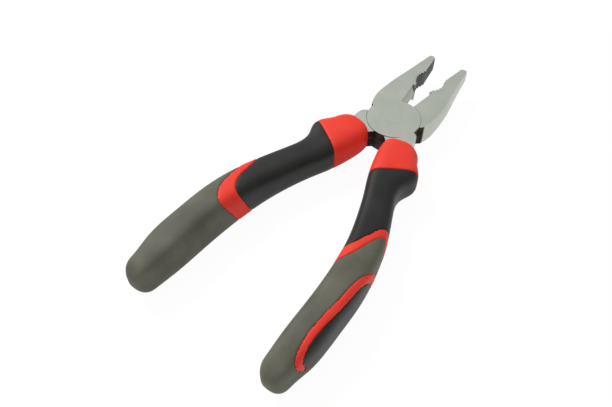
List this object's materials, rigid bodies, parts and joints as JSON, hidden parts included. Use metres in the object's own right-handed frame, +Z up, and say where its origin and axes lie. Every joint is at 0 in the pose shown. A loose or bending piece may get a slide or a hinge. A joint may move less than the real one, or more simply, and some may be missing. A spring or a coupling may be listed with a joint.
{
  "type": "combination pliers",
  "caption": "Lineman combination pliers with serrated nose, pipe grip, side cutters and contoured two-colour moulded grips on a riveted lap joint.",
  "frame": {"origin": "on the pivot axis, at the flat lower face of the joint", "axes": "+Y along the tool towards the jaw tips, +X across it, +Z up along the pivot"},
  "size_m": [0.0888, 0.2012, 0.0222],
  "materials": {
    "steel": "satin chrome",
    "red_grip": "moulded satin",
    "black_rubber": "fine matte grain",
    "grey_rubber": "fine matte grain"
  },
  "bodies": {
    "lower": {"lower_half": "steel", "pivot_rivet": "steel", "left_grip_core": "red_grip", "left_neck_sleeve": "black_rubber", "left_palm_sleeve": "grey_rubber", "left_back_pad": "black_rubber"},
    "upper": {"upper_half": "steel", "right_grip_core": "red_grip", "right_neck_sleeve": "black_rubber", "right_palm_sleeve": "grey_rubber", "right_back_pad": "black_rubber"}
  },
  "joints": [
    {"name": "pivot", "type": "hinge", "parent": "lower", "child": "upper", "pos_m": [0, 0, 0.0057], "axis": [0, 0, 1], "range_deg": [-16, 18]}
  ]
}
